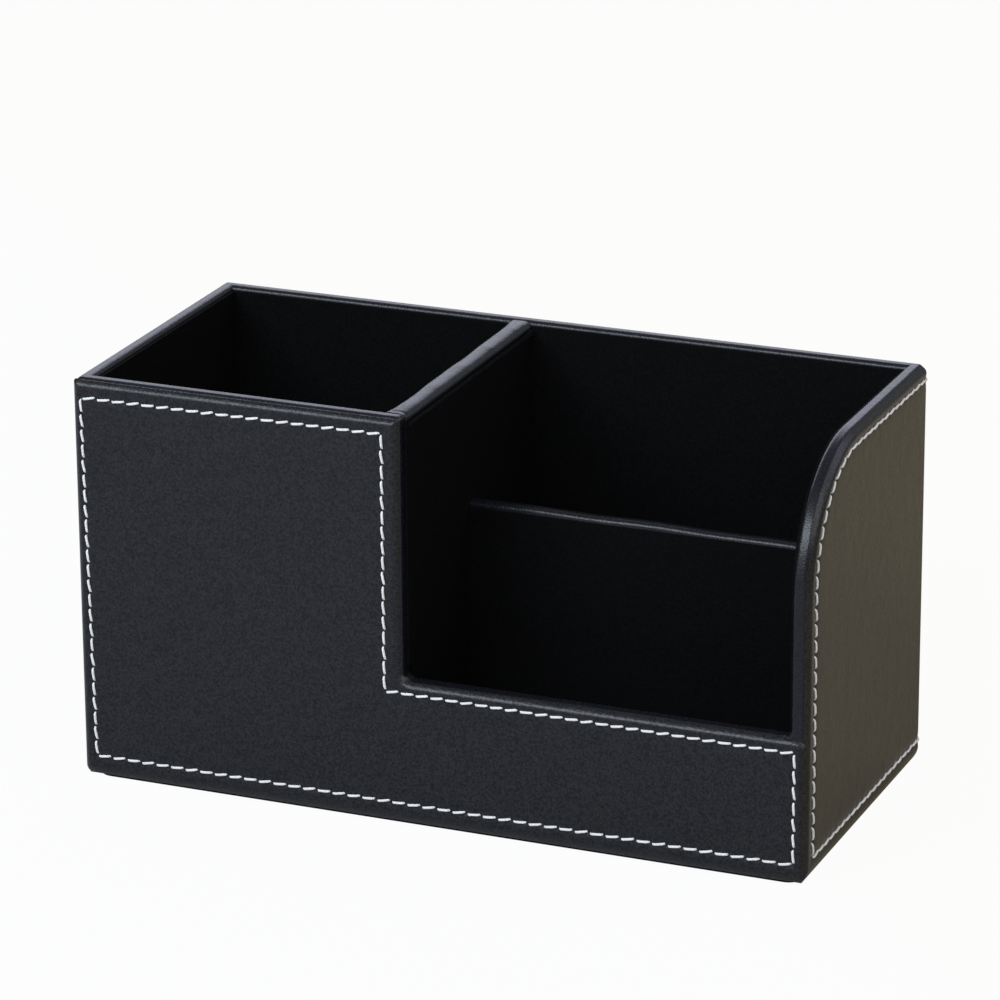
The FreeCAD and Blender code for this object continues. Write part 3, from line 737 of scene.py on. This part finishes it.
def thread_material():
    """White twisted thread with a little fluff."""
    material, tree, shader, place = new_material("white_thread", gloss=0.3)
    fibres = noise_field(tree, place, size_mm=0.12, detail=3.0)
    slow = noise_field(tree, place, size_mm=6.0, detail=2.0)
    colour = ramp(tree, slow, first=(0.84, 0.825, 0.78), last=(0.90, 0.89, 0.86))
    lead_in(tree, shader, colour, span(tree, fibres, low=0.65, high=0.85), bump(tree, fibres, depth_mm=0.06))
    return material


def cloth_material(name, dark, light, size_mm, depth_mm):
    """Matt flock or felt."""
    material, tree, shader, place = new_material(name, gloss=0.1)
    fibres = noise_field(tree, place, size_mm, detail=4.0)
    slow = noise_field(tree, place, size_mm=9.0, detail=2.0)
    roughness = span(tree, fibres, low=0.85, high=1.0)
    lead_in(tree, shader, ramp(tree, slow, dark, light), roughness, bump(tree, fibres, depth_mm))
    return material


def fibreboard_material():
    """Bare brown fibreboard."""
    material, tree, shader, place = new_material("fibreboard")
    fibres = noise_field(tree, place, size_mm=0.7, detail=5.0)
    colour = ramp(tree, fibres, first=(0.34, 0.24, 0.15), last=(0.50, 0.38, 0.25))
    lead_in(tree, shader, colour, span(tree, fibres, low=0.7, high=0.9), bump(tree, fibres, depth_mm=0.05))
    return material


def steel_material():
    """Bright drawn wire."""
    material, tree, shader, place = new_material("pin_steel")
    marks = noise_field(tree, place, size_mm=0.4, detail=3.0)
    colour = ramp(tree, marks, first=(0.50, 0.50, 0.51), last=(0.60, 0.60, 0.61))
    lead_in(tree, shader, colour, span(tree, marks, low=0.25, high=0.4))
    shader.inputs["Metallic"].default_value = 1.0
    return material


def dress(names, material):
    """Give solids of the frame a material."""
    for name in names:
        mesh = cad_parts[name].data
        mesh.materials.clear()
        mesh.materials.append(material)


def camera():
    """The camera, at the photograph's viewing angle."""
    azimuth = math.radians(22.5514)
    elevation = math.radians(19.4384)
    roll = math.radians(-0.3333)
    # Place along the picture's own axes, in millimetres from the middle of the box's foot
    aside = -0.8354
    above = 70.4379
    distance = 1367.988
    focal_share = 5.1959651        # focal length over the picture's width
    sensor_width = 36.0
    far_end = 50.0
    back = Vector((math.sin(azimuth) * math.cos(elevation), -math.cos(azimuth) * math.cos(elevation),
                   math.sin(elevation)))
    level_right = Vector((0, 0, 1)).cross(back).normalized()
    level_up = back.cross(level_right)
    right = level_right * math.cos(roll) + level_up * math.sin(roll)
    up = level_up * math.cos(roll) - level_right * math.sin(roll)
    eye = (right * aside + up * above + back * distance) * MM
    data = bpy.data.cameras.new("camera")
    data.sensor_width = sensor_width
    data.lens = focal_share * sensor_width
    data.clip_end = far_end
    viewer = bpy.data.objects.new("camera", data)
    turn = Matrix((right, up, back)).transposed().to_4x4()
    viewer.matrix_world = Matrix.Translation(eye) @ turn
    bpy.context.scene.collection.objects.link(viewer)
    bpy.context.scene.camera = viewer


def softbox(name, place, target, width, height, radiance, colour):
    """A rectangular lamp that faces a target, given by how bright its surface is."""
    data = bpy.data.lights.new(name, "AREA")
    data.shape = "RECTANGLE"
    data.size = width
    data.size_y = height
    data.energy = radiance * math.pi * width * height
    data.color = colour
    lamp = bpy.data.objects.new(name, data)
    lamp.location = place
    lamp.rotation_euler = (Vector(target) - Vector(place)).to_track_quat("-Z", "Y").to_euler()
    lamp.visible_camera = False
    bpy.context.scene.collection.objects.link(lamp)


def calculate(tree, operation, first, second):
    """The outcome of a sum with a socket and another socket or a number."""
    node = tree.nodes.new("ShaderNodeMath")
    node.operation = operation
    tree.links.new(first, node.inputs[0])
    if isinstance(second, float):
        node.inputs[1].default_value = second
    else:
        tree.links.new(second, node.inputs[1])
    return node.outputs["Value"]


def background_share(tree, camera_share, glossy_share):
    """How much a ray sees of the white background: most for the camera, less for the gloss of the box."""
    path = tree.nodes.new("ShaderNodeLightPath").outputs
    seen = calculate(tree, "MAXIMUM", path["Is Camera Ray"], path["Is Transmission Ray"])
    most = calculate(tree, "MULTIPLY", seen, camera_share)
    some = calculate(tree, "MULTIPLY", path["Is Glossy Ray"], glossy_share)
    return calculate(tree, "MAXIMUM", most, some)


def mix_white(tree, plain, white, share, output):
    """Lead a plain shader into an output, with a share of a white one over it."""
    mix = tree.nodes.new("ShaderNodeMixShader")
    tree.links.new(share, mix.inputs["Fac"])
    tree.links.new(plain, mix.inputs[1])
    tree.links.new(white, mix.inputs[2])
    tree.links.new(mix.outputs["Shader"], tree.nodes[output].inputs["Surface"])


def floor_painted_light(tree, place):
    """Painted light in the floor's colour: cool on the left and warm towards the right rear, a touch darker as
    painted shade near the box.
    """
    turned = tree.nodes.new("ShaderNodeMapping")
    turned.inputs["Rotation"].default_value = (0, 0, PAINTED_LIGHT_TURN)
    tree.links.new(place, turned.inputs["Vector"])
    apart = tree.nodes.new("ShaderNodeSeparateXYZ")
    tree.links.new(turned.outputs["Vector"], apart.inputs["Vector"])
    across = span(tree, apart.outputs["X"], 0.0, 1.0, PAINTED_LIGHT_REACH)
    return ramp(tree, across, PAINTED_COOL_LIGHT, PAINTED_WARM_LIGHT_FAR, PAINTED_LIGHT_RANGE, [(PAINTED_LIGHT_AND_SHADE_PLACE, PAINTED_LIGHT_AND_SHADE_NEAR)])


def floor():
    """A pale floor that shows as white and keeps a light shadow."""
    mesh = bpy.data.meshes.new("floor")
    half = FLOOR_HALF
    corners = [(x, y, FLOOR_LEVEL) for x, y in ((-half, -half), (half, -half), (half, half), (-half, half))]
    mesh.from_pydata(corners, [], [(0, 1, 2, 3)])
    plane = bpy.data.objects.new("floor", mesh)
    bpy.context.scene.collection.objects.link(plane)
    material, tree, shader, place = new_material("pale_floor", gloss=0.0)
    shader.inputs["Roughness"].default_value = FLOOR_ROUGHNESS
    # The floor's base colour carries painted light: a warm glow to the right rear and slight painted shade
    # near the box
    tree.links.new(floor_painted_light(tree, place), shader.inputs["Base Color"])
    white = tree.nodes.new("ShaderNodeEmission")
    share = background_share(tree, camera_share=0.96, glossy_share=0.06)
    mix_white(tree, shader.outputs["BSDF"], white.outputs["Emission"], share, "Material Output")
    mesh.materials.append(material)


def lamps():
    """Soft light: a window and a skylight behind, and a strip, a key lamp and a fill in front."""
    sky = (0.79, 0.83, 1.0)
    foot = (0, 0, 0.05)
    rims = (0, 0, 0.1)
    softbox("strip", place=(-0.4, -1.15, 0.97), target=foot, width=1.6, height=0.45,
            radiance=9.0, colour=(0.77, 0.865, 1.0))
    softbox("window", place=(-1.2, 1.7, 0.95), target=rims, width=2.4, height=1.4,
            radiance=1.55, colour=sky)
    softbox("skylight", place=(1.3, 0.9, 1.3), target=rims, width=1.3, height=1.3,
            radiance=1.45, colour=sky)
    softbox("key", place=(-0.9, -1.6, 0.7), target=foot, width=1.2, height=0.6,
            radiance=1.6, colour=(1.0, 1.0, 1.0))
    softbox("fill", place=(1.65, -0.75, 1.5), target=foot, width=1.5, height=1.5,
            radiance=2.2, colour=(1.0, 0.98, 0.95))


def surroundings():
    """A dim room that shows as white."""
    world = bpy.data.worlds.new("world")
    bpy.context.scene.world = world
    world.use_nodes = True
    tree = world.node_tree
    dim = tree.nodes["Background"]
    dim.inputs["Color"].default_value = (0.15, 0.155, 0.17, 1)
    white = tree.nodes.new("ShaderNodeBackground")
    white.inputs["Color"].default_value = (1, 1, 1, 1)
    share = background_share(tree, camera_share=1.0, glossy_share=0.15)
    mix_white(tree, dim.outputs["Background"], white.outputs["Background"], share, "World Output")


cover = leatherette("cover_leatherette", dark=(0.001, 0.0012, 0.0032), light=(0.0185, 0.018, 0.0195),
                    grain_mm=0.6, grain_depth=0.045, rough_low=0.26, rough_high=0.36, gloss=0.36)
rim = leatherette("rim_leatherette", dark=(0.003, 0.0032, 0.0055), light=(0.010, 0.0105, 0.014),
                  grain_mm=0.5, grain_depth=0.03, rough_low=0.24, rough_high=0.34, gloss=0.36)
lining = leatherette("lining_leatherette", dark=(0.0032, 0.0032, 0.0033), light=(0.0050, 0.0050, 0.0050),
                     grain_mm=0.5, grain_depth=0.05, rough_low=0.6, rough_high=0.75, gloss=0.03)
thread = thread_material()
flock = cloth_material("black_flock", dark=(0.003, 0.003, 0.0035), light=(0.0045, 0.0045, 0.005),
                       size_mm=0.25, depth_mm=0.08)
felt = cloth_material("black_felt", dark=(0.012, 0.012, 0.013), light=(0.02, 0.02, 0.022),
                      size_mm=0.5, depth_mm=0.2)

front_seam = front_panel(cover)
sew("front_threads", front_seam, on_front, STITCH_SLANT, thread, "front_stitching")
surround_seam = surround_panel(cover)
sew("surround_threads", surround_seam, wrap, -STITCH_SLANT, thread, "surround_stitching")

partition_roll(rim)
divider_fold(rim)

linings = [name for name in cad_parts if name.endswith("_lining")]
soften(linings, LINING_EDGE)
dress(linings, lining)
dress(["front_rim_binding", "surround_rim_binding"], rim)
dress([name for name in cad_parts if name.endswith("_floor_pad")], flock)
dress([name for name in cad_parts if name.endswith("_board")], fibreboard_material())
dress(["pin_nails"], steel_material())
dress(["base_felt"], felt)

camera()
floor()
lamps()
surroundings()
bpy.context.scene.view_settings.view_transform = "Standard"
